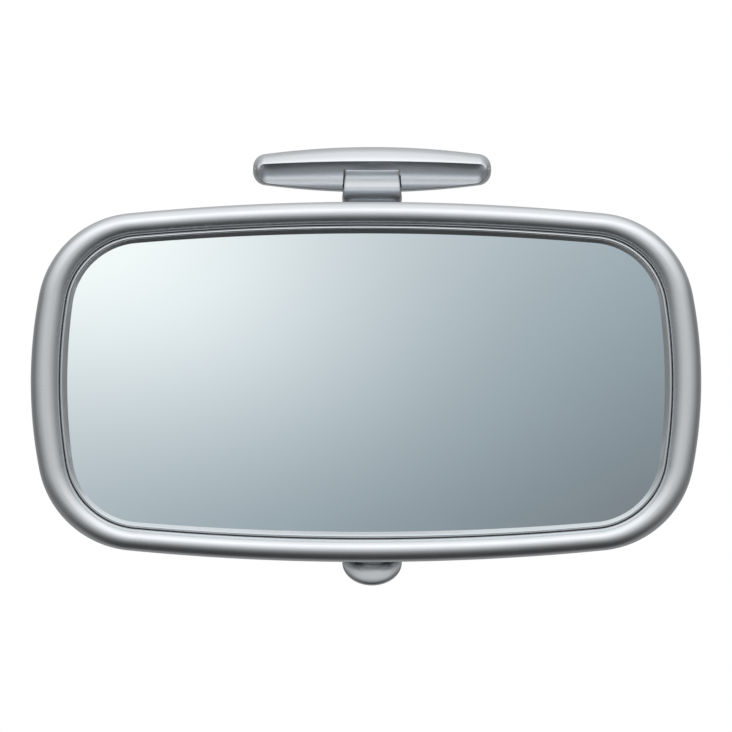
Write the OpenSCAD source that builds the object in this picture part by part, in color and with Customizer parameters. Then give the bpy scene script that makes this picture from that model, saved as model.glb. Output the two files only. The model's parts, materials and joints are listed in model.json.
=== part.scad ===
// Interior rearview mirror: day/night mirror head on a ball joint, with its arm and header foot.
// Millimetres. X to the right, +Y towards the header it is screwed to, Z up.
// The origin is the centre of the foot's mounting face.

/* [Head] */
// Overall width of the head
head_w = 220; // [212:1:230]
// Overall height of the head
head_h = 118.2; // [116:0.2:122]
// Sideways offset of the head's centre from the foot
head_x = -2; // [-2:0.5:2]
// Height of the head's centre below the foot's centre
head_drop = 70; // [70:1:76]
// Visible width of the bezel ring at the sides
ring_side = 9.8; // [9.2:0.1:10.4]
// Visible width of the bezel ring at the top and bottom
ring_top = 8; // [7.6:0.1:8.4]
// Wall thickness of the rear case
case_wall = 2; // [1.6:0.1:2.2]

/* [Glass] */
// Thickness of the glass wedge along its bottom edge
glass_bottom_t = 2.2; // [2:0.1:2.6]
// Thickness of the glass wedge along its top edge
glass_top_t = 6.6; // [6:0.1:6.8]
// Thickness of the foam pad behind the glass
foam_t = 0.8; // [0.6:0.1:0.9]

/* [Ball joint] */
// Radius of the ball
ball_r = 8; // [7.9:0.05:8]
// Distance of the ball's centre in front of the mounting face
ball_depth = 36; // [36:0.5:40]
// Distance of the ball's centre below the foot's centre
ball_drop = 62; // [61:0.5:63]

/* [Arm] */
// Width of the arm's knuckle under the foot
knuckle_w = 19.8; // [19:0.1:20]
// Width of the arm's neck
neck_w = 14; // [12:0.5:15]
// Radius of the boss that holds the ball stud
boss_r = 8.5; // [8:0.1:9]

/* [Foot] */
// Width of the foot cover
foot_w = 78.6; // [76:0.2:84]
// Height of the foot cover
foot_h = 14.9; // [14.9:0.1:16]
// Distance of the cover's ridge in front of the mounting face
foot_depth = 16; // [16:0.1:17]
// Distance between the two screw holes
hole_spacing = 54; // [50:1:56]
// Radius of the screw holes
hole_r = 2.25; // [2:0.05:2.5]

/* [Day and night lever] */
// Width of the lever's tab
tab_w = 19.6; // [18:0.2:19.8]
// Drop from the lever's pivot to the end of the tab
lever_len = 18.6; // [18:0.2:20]
// Angle that the lever turns from day to night
lever_swing = 30; // [28:1:32]
// Angle that the head tilts from day to night
flip_angle = 4; // [3.8:0.1:4.2]

/* [Hidden] */
$fn = 48;

// An outline is [half width, half height, top radius, side radius, corner radius].
head_outline = [head_w / 2, head_h / 2, 800, 150, 33];
crease_outline = [head_w / 2 - ring_side, head_h / 2 - ring_top, 850, 170, 25];
glass_outline = [crease_outline[0] - 2.2, crease_outline[1] - 2.4, 900, 193, 23];
foot_outline = [foot_w / 2, foot_h / 2, 270, 9, 4.4];
corner_steps = 7;
side_steps = 2;
top_steps = 5;

// Depths of the head, all negative because the driver's side is -Y
head_z = -head_drop;
ball_y = -ball_depth;
ball_z = -ball_drop;
back_y = ball_y + 8.5;
rim_y = back_y - 22.5;
shoulder_y = rim_y + 4;
tube_y = rim_y - 7.5;
tube_h = 4.5;
crease_y = tube_y - 1.5;
glass_y = tube_y + 0.5;
carrier_y = glass_y + 8.8;
dome_inset = 28;
case_step = 0.5;

// Wedge of the glass
glass_edge = 1;
glass_half_h = glass_outline[1] + glass_edge;
wedge = atan((glass_top_t - glass_bottom_t) / (2 * glass_half_h));
wedge_mid_y = glass_y + (glass_top_t + glass_bottom_t) / 2;
coating_t = 0.15;

// Foot and arm pivot
pad_t = 1;
plate_t = 2.5;
plate_y = -pad_t - plate_t;
pivot_y = -8.5;
hub_r = 4.3;
hub_x = 5.4;
washer_t = 0.4;
ear_x = hub_x + washer_t;
ear_t = 1.8;
ear_out = ear_x + ear_t;
pivot_pin_r = 2;
pivot_head_r = 3.5;
pivot_head_t = 1.5;
pivot_washer_t = 0.7;
pivot_nut_r = 3.9;
pivot_nut_t = 2;
clip_x = [14.5, 19.5];
running = 0.05;
cover_wall = 1.5;
opening_top = 0.2;
knuckle_x = knuckle_w / 2;
knuckle_r = 5.15;
ear_gap = 0.25;

// Ball joint
liner_in = ball_r + 0.1;
liner_out = ball_r + 1.5;
socket_in = ball_r + 1.6;
socket_out = 11.5;
socket_front = 11.6;
socket_back = 6;
neck_r = 4;
shank_r = 3;
boss_front = ball_y + 14.5;
boss_back = ball_y + 23;
aperture_r = 13;
retainer_t = 1.2;
screw_circle = 14;

// Day and night mechanism: the head turns on the flip pivot, the lever on its own pin
flip_y = -41;
flip_z = -26;
flip_pin_r = 2;
lever_y = -41;
lever_z = -118;
lever_pin_r = 1.5;
drive_pin_r = 1.5;
half_swing = lever_swing / 2;
pivot_gap = flip_z - lever_z;
crank_r = pivot_gap * sin(flip_angle) / (2 * sin(half_swing) + sin(flip_angle) * cos(half_swing));
slot_y = lever_y - crank_r * sin(half_swing);
slot_z = lever_z + crank_r * cos(half_swing);
slot_gap = 0.2;
bracket_y = -43;
bracket_t = 3.5;
bracket_x = 10;
fork_x = 3;
cheek_x = 3.4;
cheek_t = 2.6;
lug_t = 3;
spring_t = 0.4;
spring_x = 7.5;
spring_screw_z = lever_z + 28;
end_clearance = 3.2;
bracket_end_z = lever_z + crank_r + end_clearance;
fork_top = bracket_end_z + 4;
small_screw_r = 1.15;
small_head_r = 2.2;
crank_tip_r = 2.4;
lever_hub_r = 4.4;
lever_hub_x = 8.6;
lever_core_r = 2.7;
tab_top = 7.5;
tab_round = 11;
tab_t = 5.6;
tab_y = lever_y + 2.9;
stem_x = 6;
stem_t = 2;
stem_len = 14;
case_screw_x = 66;
case_screw_z = 24;
case_screw_r = 1.45;
case_head_r = 3.2;
case_bore_r = 3.5;
case_bore_depth = 2.2;
post_r = 4.4;
lug_x = 11.6;
flip_lug_r = 3.8;
lever_lug_r = 3.4;
lever_slot_x = tab_w / 2 + 0.6;

// ---------------------------------------------------------------- outlines and lofts

function dir(a) = [cos(a), sin(a)];
function inset(o, d) = [for (v = o) v - d];
function mix(o1, o2, t) = o1 + (o2 - o1) * t;
function top_centre(o) = [0, o[1] - o[2]];
function side_centre(o) = [o[0] - o[3], 0];
function reversed(v) = [for (i = [len(v) - 1:-1:0]) v[i]];
function angle_of(v) = atan2(v[1], v[0]);

// Centre of the corner arc that touches the top arc and the side arc from inside
function corner_centre(o) =
    let (p = top_centre(o), q = side_centre(o), d = norm(q - p), u = (q - p) / d,
         r1 = o[2] - o[4], r2 = o[3] - o[4],
         t = (r1 * r1 - r2 * r2 + d * d) / (2 * d), h = sqrt(r1 * r1 - t * t))
    p + u * t + [u[1], -u[0]] * h;

function arc(c, r, a0, a1, n) = [for (i = [0:n]) c + r * dir(a0 + (a1 - a0) * i / n)];

// One quarter of an outline, from the side's middle to the top's middle
function quarter(o) =
    let (c = corner_centre(o), a1 = angle_of(c - side_centre(o)), a2 = angle_of(c - top_centre(o)))
    concat([for (i = [0:side_steps - 1]) side_centre(o) + o[3] * dir(a1 * i / side_steps)],
           [for (i = [0:corner_steps - 1]) c + o[4] * dir(a1 + (a2 - a1) * i / corner_steps)],
           arc(top_centre(o), o[2], a2, 90, top_steps));

function outline(o) =
    let (q = quarter(o), n = len(q) - 1)
    concat([for (i = [0:n - 1]) q[i]], [for (i = [n:-1:1]) [-q[i][0], q[i][1]]],
           [for (i = [0:n - 1]) -q[i]], [for (i = [n:-1:1]) [q[i][0], -q[i][1]]]);

function head_ring(o, y) = [for (p = outline(o)) [p[0] + head_x, y, p[1] + head_z]];

// Skin over a row of rings with the same number of points, listed so that outside walls run
// from front to back. A closed loft joins its last ring to its first.
module loft(rings, closed = false) {
    n = len(rings[0]);
    m = len(rings);
    sides = [for (i = [0:m - (closed ? 1 : 2)], j = [0:n - 1])
        let (k = (i + 1) % m, l = (j + 1) % n)
        each [[i * n + j, i * n + l, k * n + l], [i * n + j, k * n + l, k * n + j]]];
    caps = closed ? [] : [[for (j = [n - 1:-1:0]) j], [for (j = [0:n - 1]) (m - 1) * n + j]];
    polyhedron([for (r = rings) each r], concat(sides, caps));
}

// Flat plate with a given outline between two depths
module plate(points, y0, y1, at = [0, 0]) {
    translate([at[0], max(y0, y1), at[1]]) rotate([90, 0, 0])
        linear_extrude(abs(y1 - y0)) polygon(points);
}

// Round bars along X and along Y
module rod_x(r, x0, x1, y = 0, z = 0) {
    translate([x0, y, z]) rotate([0, 90, 0]) cylinder(r = r, h = x1 - x0);
}
module rod_y(r, y0, y1, x = 0, z = 0) {
    translate([x, y1, z]) rotate([90, 0, 0]) cylinder(r = r, h = y1 - y0);
}
module box(x, y, z) {
    translate([x[0], y[0], z[0]]) cube([x[1] - x[0], y[1] - y[0], z[1] - z[0]]);
}
module both_sides() {
    children();
    mirror([1, 0, 0]) children();
}
module at_ball() {
    translate([0, ball_y, ball_z]) children();
}
// A solid turned about the ball's fore-and-aft axis from a half profile of [radius, depth]
module turned(profile) {
    at_ball() rotate([-90, 0, 0]) rotate_extrude($fn = 64) polygon(profile);
}
// Points of a circular arc in a half profile, from angle a0 to a1 measured from the rear axis
function sphere_arc(r, a0, a1, n = 12) = [for (i = [0:n]) r * [sin(a0 + (a1 - a0) * i / n),
                                                              cos(a0 + (a1 - a0) * i / n)]];

// ---------------------------------------------------------------- foot

// Cross-section of the foot cover as [depth, height], from the rear top round the ridge
cove = [[0.44, 1], [0.62, 0.94], [0.8, 0.77], [0.92, 0.56], [1, 0.335], [0.94, 0.18], [0.891, 0.04],
        [0.848, -0.12], [0.818, -0.3], [0.803, -0.52], [0.79, -0.72], [0.747, -0.89], [0.63, -0.97],
        [0.43, -1]];
foot_stations = 16;
end_round = 5.5;

function foot_half_h(x) = let (o = foot_outline) o[1] - o[2] + sqrt(o[2] * o[2] - x * x);
// The ends round off over the last few millimetres
function end_factor(x) = let (u = max(0, abs(x) - foot_w / 2 + end_round) / end_round)
    sqrt(max(0.12, 1 - u * u));
function foot_section(x, off) =
    let (k = end_factor(x), h = foot_half_h(x) * k - off,
         d = (foot_depth - pad_t - 2.2 * pow(2 * x / foot_w, 2)) * (0.35 + 0.65 * k) - off)
    concat([[x, -pad_t, -h]], [for (p = reversed(cove)) [x, -pad_t - d * p[0], h * p[1]]],
           [[x, -pad_t, h]]);
function station(i, half) = let (u = 2 * i / foot_stations - 1) half * (1.5 * u - 0.5 * pow(u, 3));

module foot_shell(half, off) {
    loft([for (i = [0:foot_stations]) foot_section(station(i, half), off)]);
}

module foot_cover() {
    color([0.72, 0.74, 0.77]) difference() {
        foot_shell(foot_w / 2, 0);
        translate([0, 0.5, 0]) foot_shell(foot_w / 2 - cover_wall, cover_wall);
        box([-knuckle_x - 0.5, knuckle_x + 0.5], [-foot_depth - 1, -3], [-foot_h, opening_top]);
        rod_x(knuckle_r + 0.2, -knuckle_x - 0.5, knuckle_x + 0.5, pivot_y);
    }
}

module mount_holes(y0, y1) {
    for (s = [-1, 1]) rod_y(hole_r, y0, y1, s * hole_spacing / 2);
}

module mount_pad() {
    color([0.12, 0.12, 0.13]) difference() {
        plate(outline(inset(foot_outline, 0.6)), -pad_t, 0);
        mount_holes(-pad_t - 1, 1);
    }
}

module base_plate() {
    color([0.6, 0.61, 0.63]) difference() {
        union() {
            plate(outline(inset(foot_outline, 2.6)), plate_y, -pad_t);
            both_sides() rod_x(hub_r, ear_x, ear_out, pivot_y);
            both_sides() box([ear_x, ear_out], [pivot_y, plate_y + 0.5], [-hub_r, hub_r]);
        }
        mount_holes(plate_y - 1, 0);
        rod_x(pivot_pin_r + running, -20, 20, pivot_y);
    }
}

// Two bent clips that grip the cover's rear edge from the plate
module cover_clips() {
    color([0.5, 0.5, 0.52]) both_sides() for (s = [-1, 1]) scale([1, 1, s]) {
        box(clip_x, [plate_y - 0.5, plate_y], [0.6, 4.2]);
        box(clip_x, [plate_y - 3.2, plate_y], [3.9, 4.4]);
    }
}

module foot_pivot_bolt() {
    color([0.55, 0.56, 0.58]) union() {
        rod_x(pivot_pin_r, -ear_out, ear_out + pivot_washer_t + pivot_nut_t + 0.1, pivot_y);
        rod_x(pivot_head_r, -ear_out - pivot_head_t, -ear_out, pivot_y);
    }
}

// Split washer, with its gap at the top
module spring_washer() {
    color([0.5, 0.5, 0.52]) difference() {
        rod_x(pivot_head_r, ear_out, ear_out + pivot_washer_t, pivot_y);
        rod_x(pivot_pin_r + 0.1, ear_out - 1, ear_out + 2, pivot_y);
        box([ear_out - 1, ear_out + 2], [pivot_y - 0.3, pivot_y + 0.3], [0, 5]);
    }
}

module foot_pivot_nut() {
    x0 = ear_out + pivot_washer_t;
    color([0.6, 0.6, 0.62]) difference() {
        translate([x0, pivot_y, 0]) rotate([0, 90, 0]) cylinder(r = pivot_nut_r, h = pivot_nut_t, $fn = 6);
        rod_x(pivot_pin_r + 0.02, x0 - 1, x0 + 4, pivot_y);
    }
}

module friction_washers() {
    color([0.2, 0.2, 0.22]) both_sides() difference() {
        rod_x(3.9, hub_x + 0.03, ear_x, pivot_y);
        rod_x(pivot_pin_r + running, hub_x - 1, ear_x + 1, pivot_y);
    }
}

// ---------------------------------------------------------------- arm

// Side view of the arm as [depth, height]: down the front from the knuckle, up the back
arm_front = [[-13.1, 0.6], [-13.5, 0.1], [-13.63, -0.4], [-13.62, -1], [-13.35, -2], [-13.15, -3],
             [-13.25, -4], [-13.45, -5], [-13.6, -5.9], [-13.55, -6.8], [-13.3, -7.7], [-12.9, -8.6],
             [-12.3, -9.4], [-11.6, -10.1], [-11.4, -11], [-11.6, -13], [-12.3, -18], [-13, -30],
             [-13.8, -40], [-15.6, -46], [-18, -50.5], [-20.2, -54.5], [-21.5, -58]];
arm_back = [[-14, -57], [-12.6, -53], [-10, -48.5], [-7.4, -44], [-6.2, -38], [-5.8, -30], [-5.8, -12],
            [-5.6, -8], [-5.6, 0.6]];

module arm() {
    color([0.7, 0.72, 0.75]) difference() {
        union() {
            intersection() {
                translate([-15, 0, 0]) rotate([90, 0, 90]) linear_extrude(30)
                    polygon(concat(arm_front, arm_back));
                plate([[-knuckle_x + 0.8, 2], [-knuckle_x, -10.2], [-knuckle_x + 1.4, -12.4],
                       [-neck_w / 2, -18], [-neck_w / 2 + 0.8, -44], [-boss_r, -ball_drop],
                       [boss_r, -ball_drop], [neck_w / 2 - 0.8, -44], [neck_w / 2, -18],
                       [knuckle_x - 1.4, -12.4], [knuckle_x, -10.2], [knuckle_x - 0.8, 2]], -30, 0);
            }
            rod_x(hub_r, -hub_x, hub_x, pivot_y);
            rod_y(boss_r, boss_front, boss_back, 0, ball_z);
        }
        both_sides() rod_x(hub_r + ear_gap, hub_x, 15, pivot_y);
        both_sides() box([hub_x, 15], [pivot_y, 0], [-8.5, 5]);
        rod_x(pivot_pin_r + running, -20, 20, pivot_y);
        rod_y(shank_r + running, boss_front - 1, boss_back + 5, 0, ball_z);
        rod_y(boss_r + 0.5, boss_back, 0, 0, ball_z);
    }
}

module ball_stud() {
    color([0.75, 0.76, 0.78]) union() {
        at_ball() sphere(r = ball_r, $fn = 64);
        rod_y(neck_r, ball_y + 5, boss_front, 0, ball_z);
        rod_y(shank_r, boss_front - 1, boss_back + 6.8, 0, ball_z);
    }
}

module stud_lock_washer() {
    color([0.55, 0.55, 0.57]) difference() {
        rod_y(5.8, boss_back, boss_back + 1, 0, ball_z);
        rod_y(shank_r + 0.1, boss_back - 1, boss_back + 2, 0, ball_z);
    }
}

module stud_nut() {
    y0 = boss_back + 1;
    color([0.62, 0.62, 0.64]) difference() {
        translate([0, y0 + 4.8, ball_z]) rotate([90, 0, 0]) cylinder(r = 5.77, h = 4.8, $fn = 6);
        rod_y(shank_r + 0.02, y0 - 1, y0 + 6, 0, ball_z);
    }
}

// ---------------------------------------------------------------- ball joint

// Nylon seat behind the ball: a zone of a hollow sphere
module ball_liner() {
    color([0.9, 0.9, 0.86])
        turned(concat(sphere_arc(liner_in, 52, 103), sphere_arc(liner_out, 101, 58)));
}

// Ring in front of the ball that the springs push against it
module pressure_cup() {
    color([0.85, 0.85, 0.8]) turned(concat(sphere_arc(liner_in, 126, 142),
        [[5, -10], [liner_out - 0.05, -10], [liner_out - 0.05, -4.8]]));
}

module disc_springs() {
    color([0.45, 0.46, 0.5]) union() {
        turned([[5.4, -10.05], [9.1, -10.35], [9.1, -10.75], [5.4, -10.45]]);
        turned([[9.1, -10.75], [5.4, -11.05], [5.4, -11.45], [9.1, -11.15]]);
    }
}

module screw_places(y0, y1, r) {
    for (a = [90, 210, 330])
        rod_y(r, y0, y1, screw_circle * cos(a), ball_z + screw_circle * sin(a));
}

module socket_retainer() {
    y1 = ball_y - socket_front;
    color([0.5, 0.51, 0.53]) difference() {
        union() {
            rod_y(socket_out, y1 - retainer_t, y1, 0, ball_z);
            screw_places(y1 - retainer_t, y1, 2.8);
        }
        rod_y(4.5, y1 - 5, y1 + 1, 0, ball_z);
        screw_places(y1 - 5, y1 + 1, 1.35);
    }
}

module retainer_screws() {
    y0 = ball_y - socket_front - retainer_t;
    color([0.6, 0.6, 0.62]) union() {
        screw_places(y0 - 0.5, y0 + 7, small_screw_r);
        screw_places(y0 - 1.1, y0, small_head_r);
    }
}

// ---------------------------------------------------------------- toggle bracket

module toggle_bracket() {
    front = ball_y - socket_front;
    plate_back = bracket_y + bracket_t;
    color([0.28, 0.29, 0.31]) difference() {
        union() {
            rod_y(socket_out, front, ball_y + socket_back, 0, ball_z);
            screw_places(front, plate_back, 2.8);
            box([-bracket_x, bracket_x], [bracket_y, plate_back], [bracket_end_z, flip_z]);
            rod_x(4, -11, 11, flip_y, flip_z);
            both_sides() box([bracket_x - 2, bracket_x], [bracket_y - 2, bracket_y + 0.1],
                             [bracket_end_z + 2, ball_z - 16]);
            box([-fork_x, fork_x], [slot_y - 3.4, slot_y + 3.4], [slot_z - 2.4, fork_top]);
        }
        at_ball() sphere(r = socket_in, $fn = 64);
        rod_y(socket_in, front - 1, ball_y, 0, ball_z);
        rod_y(7.8, ball_y, ball_y + 20, 0, ball_z);
        rod_x(flip_pin_r + running, -20, 20, flip_y, flip_z);
        screw_places(front - 1, front + 6.5, 1.2);
        rod_x(drive_pin_r + slot_gap, -9, 9, slot_y, slot_z + 0.9);
        box([-9, 9], [slot_y - drive_pin_r - slot_gap, slot_y + drive_pin_r + slot_gap],
            [slot_z - 9, slot_z + 0.9]);
        rod_y(1.2, bracket_y - 8, 0, 0, spring_screw_z);
    }
}

// Forked leaf spring on the bracket's front, over the lever's crank
module detent_spring() {
    slit = fork_x + 0.3;
    color([0.5, 0.52, 0.56]) difference() {
        box([-spring_x, spring_x], [bracket_y - spring_t, bracket_y], [bracket_end_z, spring_screw_z + 3]);
        box([-slit, slit], [bracket_y - 1, bracket_y + 1], [bracket_end_z - 1, fork_top + 0.3]);
        rod_y(1.3, bracket_y - 5, bracket_y + 5, 0, spring_screw_z);
    }
}

module detent_screw() {
    color([0.6, 0.6, 0.62]) union() {
        rod_y(small_screw_r, bracket_y - spring_t - 0.5, bracket_y + 3, 0, spring_screw_z);
        rod_y(small_head_r, bracket_y - spring_t - 1.2, bracket_y - spring_t, 0, spring_screw_z);
    }
}

// ---------------------------------------------------------------- head

dome_steps = 6;
// Insets and depths down the case's rounded shoulder, from its rim to its flat back
function shoulder(d0, d1, y1) = [for (i = [0:dome_steps]) let (a = 90 * i / dome_steps)
    [d1 - (d1 - d0) * cos(a), shoulder_y + (y1 - shoulder_y) * sin(a)]];
case_outer = concat([[case_step, rim_y]], shoulder(case_step, dome_inset, back_y));
case_inner = concat([[case_step + case_wall, rim_y]],
                    shoulder(case_step + case_wall, dome_inset, back_y - case_wall));

module case_screw_places(y0, y1, r) {
    for (sx = [-1, 1], sz = [-1, 1])
        rod_y(r, y0, y1, head_x + sx * case_screw_x, head_z + sz * case_screw_z);
}

// Lug on the case's inside that holds one end of a pin
module pin_lug(x0, y, z, r) {
    rod_x(r, x0, x0 + lug_t, y, z);
    box([x0, x0 + lug_t], [y, back_y - case_wall / 2], [z - r, z + r]);
}

module rear_case() {
    color([0.66, 0.68, 0.71]) difference() {
        union() {
            difference() {
                loft([for (p = concat(reversed(case_inner), case_outer))
                    head_ring(inset(head_outline, p[0]), p[1])]);
                rod_y(aperture_r, back_y - 5, back_y + 5, 0, ball_z);
                box([-lever_slot_x, lever_slot_x], [rim_y - 1, lever_y + 7.2],
                    [head_z - head_h / 2 - 1, lever_z - 1]);
            }
            case_screw_places(carrier_y, back_y - 0.5, post_r);
            intersection() {
                both_sides() {
                    pin_lug(lug_x, flip_y, flip_z, flip_lug_r);
                    pin_lug(lever_slot_x + 0.2, lever_y, lever_z, lever_lug_r);
                }
                loft([for (p = case_outer) head_ring(inset(head_outline, p[0] + 0.5), p[1] - 0.5)]);
            }
        }
        case_screw_places(carrier_y - 1, back_y + 1, 1.7);
        case_screw_places(back_y - case_bore_depth, back_y + 1, case_bore_r);
        rod_x(flip_pin_r, -30, 30, flip_y, flip_z);
        rod_x(lever_pin_r, -30, 30, lever_y, lever_z);
    }
}

// Cross-section of the bezel as [share of the ring's width, depth]: a hollow half-round rail
tube_end = 160;
tube_steps = 8;
function tube_point(a, t0, t1, h) = let (k = (1 - cos(a)) / (1 - cos(tube_end)))
    [t0 + (t1 - t0) * k, tube_y - h * sin(a)];
bezel_profile = concat(
    [for (i = [tube_steps:-1:0]) tube_point(tube_end * i / tube_steps, 0, 1, tube_h)],
    [[0, rim_y], [0.16, rim_y]],
    [for (i = [1:tube_steps - 1]) tube_point(tube_end * i / tube_steps, 0.16, 0.9, tube_h - 1.3)],
    [[0.9, crease_y + 1.2], [1, crease_y + 1.2]]);

module bezel() {
    color([0.75, 0.77, 0.8]) loft([for (p = bezel_profile)
        head_ring(mix(head_outline, crease_outline, p[0]), p[1])], closed = true);
}

// Chrome lip round the glass: a narrow ledge, then a slope down to the glass, and a skirt
module inner_trim() {
    edge = inset(glass_outline, -glass_edge - 0.1);
    color([0.7, 0.72, 0.75]) loft([
        head_ring(inset(crease_outline, 0.6), crease_y), head_ring(inset(crease_outline, 0.04), crease_y),
        head_ring(inset(crease_outline, 0.04), glass_y + 5), head_ring(edge, glass_y + 5),
        head_ring(edge, glass_y), head_ring(glass_outline, glass_y)], closed = true);
}

// Everything behind the glass wedge's rear face, moved back by an offset
module behind_wedge(off) {
    translate([head_x, wedge_mid_y + off, head_z]) rotate([-wedge, 0, 0])
        translate([-head_w, 0, -head_h]) cube([2 * head_w, 40, 2 * head_h]);
}

module wedge_layer(o, off0, off1) {
    difference() {
        plate(outline(o), glass_y, glass_y + 15, [head_x, head_z]);
        behind_wedge(off1);
        difference() {
            plate(outline(inset(o, -5)), glass_y - 1, glass_y + 16, [head_x, head_z]);
            behind_wedge(off0);
        }
    }
}

module mirror_glass() {
    color([0.75, 0.82, 0.84]) difference() {
        plate(outline(inset(glass_outline, -glass_edge)), glass_y, glass_y + 15, [head_x, head_z]);
        behind_wedge(0);
    }
}

module reflective_coating() {
    color([0.85, 0.87, 0.88]) wedge_layer(inset(glass_outline, -glass_edge), 0, coating_t);
}

module foam_pad() {
    color([0.15, 0.15, 0.16])
        wedge_layer(inset(glass_outline, -glass_edge + 1), coating_t, coating_t + foam_t);
}

module glass_carrier() {
    off = coating_t + foam_t;
    color([0.2, 0.2, 0.22]) difference() {
        intersection() {
            plate(outline(inset(glass_outline, -glass_edge)), glass_y, carrier_y, [head_x, head_z]);
            behind_wedge(off);
        }
        rod_y(22, glass_y, carrier_y + 1, 0, ball_z);
        box([-12, 12], [glass_y, carrier_y + 1], [lever_z, lever_z + 20]);
        case_screw_places(glass_y, carrier_y + 1, 1.5);
    }
}

module bracket_pivot_pin() {
    color([0.6, 0.61, 0.63]) rod_x(flip_pin_r, -lug_x - lug_t, lug_x + lug_t, flip_y, flip_z);
}

module lever_pin() {
    color([0.6, 0.61, 0.63]) rod_x(lever_pin_r, -13.6, 13.6, lever_y, lever_z);
}

module case_screws() {
    color([0.35, 0.35, 0.37]) difference() {
        union() {
            case_screw_places(carrier_y - 2, back_y - 1, case_screw_r);
            case_screw_places(back_y - case_bore_depth, back_y - 0.3, case_head_r);
        }
        for (sx = [-1, 1], sz = [-1, 1])
            translate([head_x + sx * case_screw_x, back_y - 0.3, head_z + sz * case_screw_z])
                for (a = [0, 90]) rotate([0, a, 0]) box([-1.9, 1.9], [-1.1, 1], [-0.35, 0.35]);
    }
}

// ---------------------------------------------------------------- day and night lever

// Puts a lever that hangs straight down from its pivot into its day position
module lever_day() {
    translate([0, lever_y, lever_z]) rotate([half_swing, 0, 0]) children();
}

module lever_tab() {
    w = tab_w / 2;
    shape = concat([[-w, -tab_top], [w, -tab_top]], [for (a = [0:-7.5:-180])
        [w * cos(a), -tab_round + (lever_len - tab_round) * sin(a)]]);
    color([0.7, 0.72, 0.75]) difference() {
        plate(shape, tab_y - tab_t / 2, tab_y + tab_t / 2, [0, lever_z]);
        lever_day() box([-stem_x - 0.1, stem_x + 0.1], [-stem_t / 2 - 0.05, stem_t / 2 + 0.05],
                        [-stem_len - 0.1, 0]);
    }
}

module lever_hub() {
    color([0.9, 0.9, 0.86]) lever_day() difference() {
        union() {
            both_sides() rod_x(lever_hub_r, cheek_x, lever_hub_x);
            rod_x(lever_core_r, -cheek_x - 0.5, cheek_x + 0.5);
            both_sides() rod_x(crank_tip_r, cheek_x, cheek_x + cheek_t, 0, crank_r);
            both_sides() box([cheek_x, cheek_x + cheek_t], [-crank_tip_r, crank_tip_r], [0, crank_r]);
            box([-stem_x, stem_x], [-stem_t / 2, stem_t / 2], [-stem_len, -2.3]);
        }
        rod_x(lever_pin_r + running, -20, 20);
        rod_x(drive_pin_r, -20, 20, 0, crank_r);
    }
}

module drive_pin() {
    color([0.6, 0.61, 0.63]) lever_day()
        rod_x(drive_pin_r, -cheek_x - cheek_t, cheek_x + cheek_t, 0, crank_r);
}

mount_pad();
base_plate();
foot_cover();
cover_clips();
foot_pivot_bolt();
foot_pivot_nut();
friction_washers();
spring_washer();
arm();
ball_stud();
stud_lock_washer();
stud_nut();
ball_liner();
pressure_cup();
disc_springs();
toggle_bracket();
socket_retainer();
retainer_screws();
detent_spring();
detent_screw();
rear_case();
bezel();
inner_trim();
mirror_glass();
reflective_coating();
foam_pad();
glass_carrier();
bracket_pivot_pin();
lever_pin();
case_screws();
lever_tab();
lever_hub();
drive_pin();
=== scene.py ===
"""Looks of an interior rearview mirror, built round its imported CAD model.

Metres, in the CAD model's own frame: +X to the right, -Y towards the driver, +Z up. The origin is the
centre of the foot's mounting face.
"""
import json
import math

import bmesh
import bpy
import numpy as np
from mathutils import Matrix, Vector


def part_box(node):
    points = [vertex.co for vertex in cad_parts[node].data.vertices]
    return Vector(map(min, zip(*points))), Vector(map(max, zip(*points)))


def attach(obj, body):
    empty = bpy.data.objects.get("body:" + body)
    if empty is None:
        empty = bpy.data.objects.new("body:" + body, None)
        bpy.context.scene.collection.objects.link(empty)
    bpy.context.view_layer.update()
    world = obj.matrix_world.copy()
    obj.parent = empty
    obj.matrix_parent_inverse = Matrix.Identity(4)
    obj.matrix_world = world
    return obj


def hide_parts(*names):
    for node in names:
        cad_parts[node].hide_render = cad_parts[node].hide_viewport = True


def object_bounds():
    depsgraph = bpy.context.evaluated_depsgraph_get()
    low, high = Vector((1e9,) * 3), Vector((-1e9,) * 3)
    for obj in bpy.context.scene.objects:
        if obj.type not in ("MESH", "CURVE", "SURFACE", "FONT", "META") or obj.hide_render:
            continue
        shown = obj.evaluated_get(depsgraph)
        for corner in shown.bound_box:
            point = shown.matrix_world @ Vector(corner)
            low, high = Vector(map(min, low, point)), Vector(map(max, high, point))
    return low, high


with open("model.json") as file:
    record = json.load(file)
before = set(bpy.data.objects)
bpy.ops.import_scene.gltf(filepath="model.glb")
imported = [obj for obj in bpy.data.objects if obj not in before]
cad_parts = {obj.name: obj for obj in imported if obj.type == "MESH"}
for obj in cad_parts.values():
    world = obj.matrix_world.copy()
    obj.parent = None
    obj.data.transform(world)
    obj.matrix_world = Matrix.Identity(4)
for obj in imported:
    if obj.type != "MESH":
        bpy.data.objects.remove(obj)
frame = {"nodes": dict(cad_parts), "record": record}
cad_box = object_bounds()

MM = 0.001

# Outlines of the head and foot are made of arcs, given as top radius, side radius and corner radius
HEAD_RADII = (0.8, 0.15, 0.033)
CREASE_RADII = (0.85, 0.17, 0.025)
GLASS_RADII = (0.9, 0.193, 0.023)
FOOT_RADII = (0.27, 0.009, 0.0044)
RIDGE_TOP_RADII = (0.68, 0.004, 0.0022)

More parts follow.
